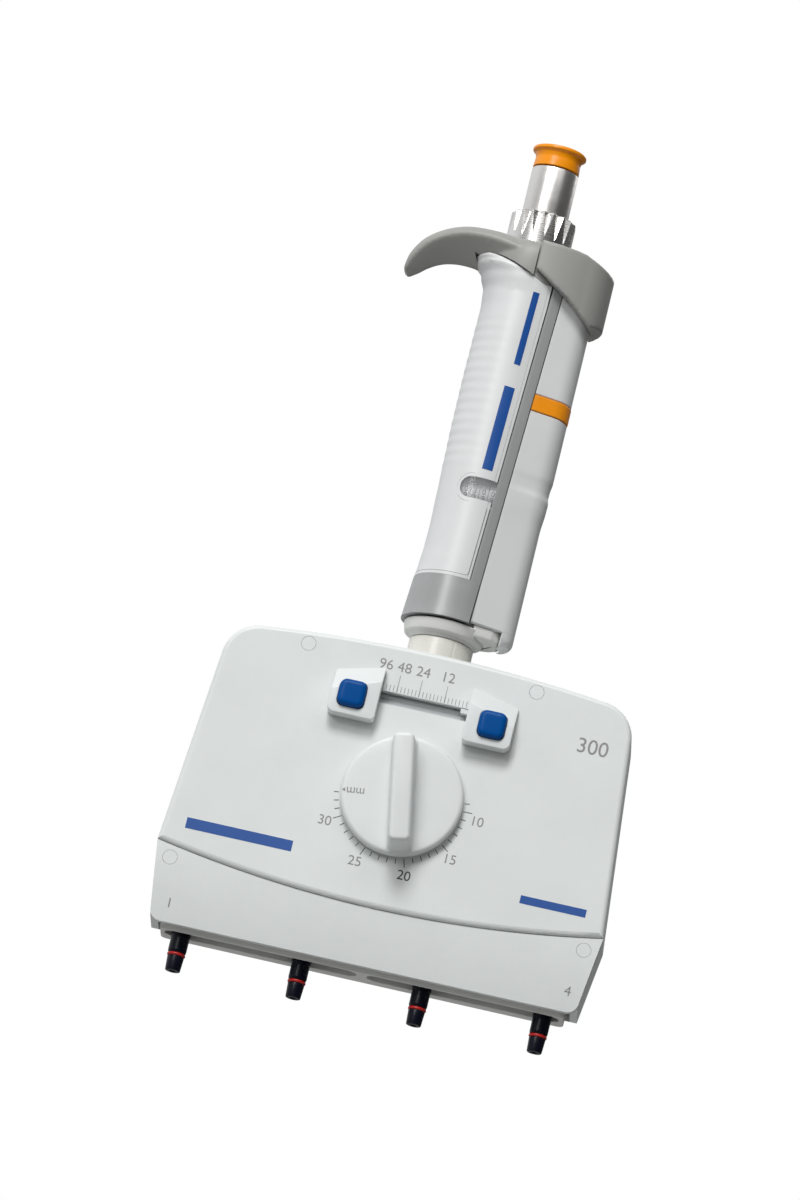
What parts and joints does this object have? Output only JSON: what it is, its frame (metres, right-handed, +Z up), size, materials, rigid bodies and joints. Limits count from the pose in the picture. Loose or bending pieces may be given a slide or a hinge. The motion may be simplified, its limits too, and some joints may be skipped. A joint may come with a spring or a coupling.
{
  "type": "multichannel pipette",
  "caption": "Hand-held multichannel air-displacement pipette with dial-adjustable tip spacing, finger hook, plunger, volume ring and tip ejector.",
  "frame": {"origin": "centre of the row of tip-cone ends, on the handle's axis", "axes": "+Z up the handle, +X along the row of tip cones from the first to the last, -Y out of the dial face"},
  "size_m": [0.122, 0.0365, 0.246],
  "materials": {
    "casing": "fine satin moulded plastic",
    "steel": "turned",
    "chassis": "bead blasted",
    "cylinder": "clear polished",
    "black_rubber": "matte",
    "hose": "soft translucent",
    "neck_plastic": "natural white, satin",
    "dial_plastic": "satin",
    "gear_plastic": "natural",
    "cursor_plastic": "satin",
    "blue_plastic": "satin",
    "spring_steel": "drawn wire",
    "piston": "ground",
    "ejector_white": "satin",
    "silver_plastic": "silver-grey satin",
    "grip_white": "soft satin",
    "clear_lens": "clear",
    "hook_grey": "fine matte",
    "orange_plastic": "satin",
    "brushed_sleeve": "polished",
    "fluted_steel": "fluted and polished",
    "cone_black": "glossy navy black",
    "red_seal": "satin rubber",
    "digit_white": "printed"
  },
  "bodies": {
    "lower_housing": {"front_cover": "casing", "chin_cover": "casing", "rear_casing": "casing", "cover_plugs": "casing", "housing_screws": "steel", "chassis_plate": "chassis", "guide_rods": "steel", "cylinders": "cylinder", "cylinder_seals": "black_rubber", "air_hoses": "hose", "neck_tube": "neck_plastic"},
    "dial": {"dial_knob": "dial_plastic", "dial_pinion": "gear_plastic", "dial_screw": "steel"},
    "cursor": {"span_cursor": "cursor_plastic"},
    "stop_left": {"stop_left": "casing"},
    "stop_right": {"stop_right": "casing"},
    "button_left": {"button_left": "blue_plastic", "button_spring_left": "spring_steel"},
    "button_right": {"button_right": "blue_plastic", "button_spring_right": "spring_steel"},
    "piston_carrier": {"piston_plate": "chassis", "pistons": "piston"},
    "ejector_lower": {"ejector_bar": "ejector_white", "ejector_frame": "ejector_white", "ejector_sleeve": "neck_plastic"},
    "handle": {"handle_frame": "silver_plastic", "grip_shell": "grip_white", "display_lens": "clear_lens", "handle_spigot": "neck_plastic", "counter_frame": "gear_plastic", "finger_hook": "hook_grey", "plunger_spring": "spring_steel", "ejector_spring": "spring_steel"},
    "plunger": {"plunger_cap": "orange_plastic", "plunger_sleeve": "brushed_sleeve", "plunger_rod": "steel"},
    "volume_ring": {"volume_ring": "fluted_steel", "volume_screw": "gear_plastic"},
    "stop_nut": {"stop_nut": "gear_plastic"},
    "ejector_upper": {"ejector_rail": "grip_white", "ejector_cap": "hook_grey", "colour_band": "orange_plastic"},
    "channel_1": {"tip_cone_1": "cone_black", "cone_seal_1": "red_seal", "carriage_1": "gear_plastic"},
    "digit_wheel_1": {"digit_wheel_1": "digit_white"},
    "channel_2": {"tip_cone_2": "cone_black", "cone_seal_2": "red_seal", "carriage_2": "gear_plastic"},
    "digit_wheel_2": {"digit_wheel_2": "digit_white"},
    "channel_3": {"tip_cone_3": "cone_black", "cone_seal_3": "red_seal", "carriage_3": "gear_plastic"},
    "digit_wheel_3": {"digit_wheel_3": "digit_white"},
    "channel_4": {"tip_cone_4": "cone_black", "cone_seal_4": "red_seal", "carriage_4": "gear_plastic"},
    "digit_wheel_4": {"digit_wheel_4": "digit_white"}
  },
  "joints": [
    {"name": "handle_turn", "type": "hinge", "parent": "lower_housing", "child": "handle", "pos_m": [0, 0, 0.104], "axis": [0, 0, 1], "continuous": true},
    {"name": "plunger_slide", "type": "slide", "parent": "handle", "child": "plunger", "axis": [0, 0, 1], "range_m": [-0.0125, 0], "stiffness_N_per_m": 350, "springref_m": 0.008, "deforming": ["plunger_spring"]},
    {"name": "piston_slide", "type": "slide", "parent": "lower_housing", "child": "piston_carrier", "axis": [0, 0, 1], "range_m": [-0.01251, 0.00001]},
    {"name": "volume_turn", "type": "hinge", "parent": "handle", "child": "volume_ring", "pos_m": [0, 0, 0.22], "axis": [0, 0, 1], "range_deg": [0, 3240]},
    {"name": "stop_nut_slide", "type": "slide", "parent": "handle", "child": "stop_nut", "axis": [0, 0, 1], "range_m": [-0.00001, 0.00901]},
    {"name": "ejector_slide", "type": "slide", "parent": "handle", "child": "ejector_upper", "axis": [0, 0, 1], "range_m": [-0.0045, 0], "stiffness_N_per_m": 700, "springref_m": 0.004, "deforming": ["ejector_spring"]},
    {"name": "ejector_bar_slide", "type": "slide", "parent": "lower_housing", "child": "ejector_lower", "axis": [0, 0, 1], "range_m": [-0.00451, 0.00001]},
    {"name": "dial_turn", "type": "hinge", "parent": "lower_housing", "child": "dial", "pos_m": [0, -0.011, 0.0576], "axis": [0, -1, 0], "range_deg": [0, 180], "deforming": ["air_hoses"]},
    {"name": "cursor_slide", "type": "slide", "parent": "lower_housing", "child": "cursor", "axis": [1, 0, 0], "range_m": [-0.02401, 0.00001]},
    {"name": "stop_left_slide", "type": "slide", "parent": "lower_housing", "child": "stop_left", "axis": [1, 0, 0], "range_m": [0, 0.022]},
    {"name": "stop_right_slide", "type": "slide", "parent": "lower_housing", "child": "stop_right", "axis": [1, 0, 0], "range_m": [-0.022, 0]},
    {"name": "button_left_press", "type": "slide", "parent": "stop_left", "child": "button_left", "axis": [0, 1, 0], "range_m": [0, 0.001], "stiffness_N_per_m": 900, "springref_m": -0.0006, "deforming": ["button_spring_left"]},
    {"name": "button_right_press", "type": "slide", "parent": "stop_right", "child": "button_right", "axis": [0, 1, 0], "range_m": [0, 0.001], "stiffness_N_per_m": 900, "springref_m": -0.0006, "deforming": ["button_spring_right"]},
    {"name": "cone_1_slide", "type": "slide", "parent": "lower_housing", "child": "channel_1", "axis": [1, 0, 0], "range_m": [-0.00001, 0.03601]},
    {"name": "cone_2_slide", "type": "slide", "parent": "lower_housing", "child": "channel_2", "axis": [1, 0, 0], "range_m": [-0.00001, 0.01201]},
    {"name": "cone_3_slide", "type": "slide", "parent": "lower_housing", "child": "channel_3", "axis": [1, 0, 0], "range_m": [-0.01201, 0.00001]},
    {"name": "cone_4_slide", "type": "slide", "parent": "lower_housing", "child": "channel_4", "axis": [1, 0, 0], "range_m": [-0.03601, 0.00001]},
    {"name": "digit_wheel_1_turn", "type": "hinge", "parent": "handle", "child": "digit_wheel_1", "pos_m": [0, -0.0052, 0.146], "axis": [1, 0, 0], "range_deg": [-9.82, 0.1]},
    {"name": "digit_wheel_2_turn", "type": "hinge", "parent": "handle", "child": "digit_wheel_2", "pos_m": [0, -0.0052, 0.146], "axis": [1, 0, 0], "range_deg": [-97.3, 0.1]},
    {"name": "digit_wheel_3_turn", "type": "hinge", "parent": "handle", "child": "digit_wheel_3", "pos_m": [0, -0.0052, 0.146], "axis": [1, 0, 0], "range_deg": [-972.1, 0.1]},
    {"name": "digit_wheel_4_turn", "type": "hinge", "parent": "handle", "child": "digit_wheel_4", "pos_m": [0, -0.0052, 0.146], "axis": [1, 0, 0], "range_deg": [-9720.1, 0.1]}
  ],
  "couplings": [
    {"joint": "piston_slide", "follows": "plunger_slide", "ratio": 1},
    {"joint": "stop_nut_slide", "follows": "volume_turn", "m_per_rad": 0.00015915},
    {"joint": "ejector_bar_slide", "follows": "ejector_slide", "ratio": 1},
    {"joint": "cursor_slide", "follows": "dial_turn", "m_per_rad": -0.0076394},
    {"joint": "cone_1_slide", "follows": "dial_turn", "m_per_rad": 0.011459},
    {"joint": "cone_2_slide", "follows": "dial_turn", "m_per_rad": 0.0038197},
    {"joint": "cone_3_slide", "follows": "dial_turn", "m_per_rad": -0.0038197},
    {"joint": "cone_4_slide", "follows": "dial_turn", "m_per_rad": -0.011459},
    {"joint": "digit_wheel_1_turn", "follows": "volume_turn", "ratio": -0.003},
    {"joint": "digit_wheel_2_turn", "follows": "volume_turn", "ratio": -0.03},
    {"joint": "digit_wheel_3_turn", "follows": "volume_turn", "ratio": -0.3},
    {"joint": "digit_wheel_4_turn", "follows": "volume_turn", "ratio": -3}
  ]
}
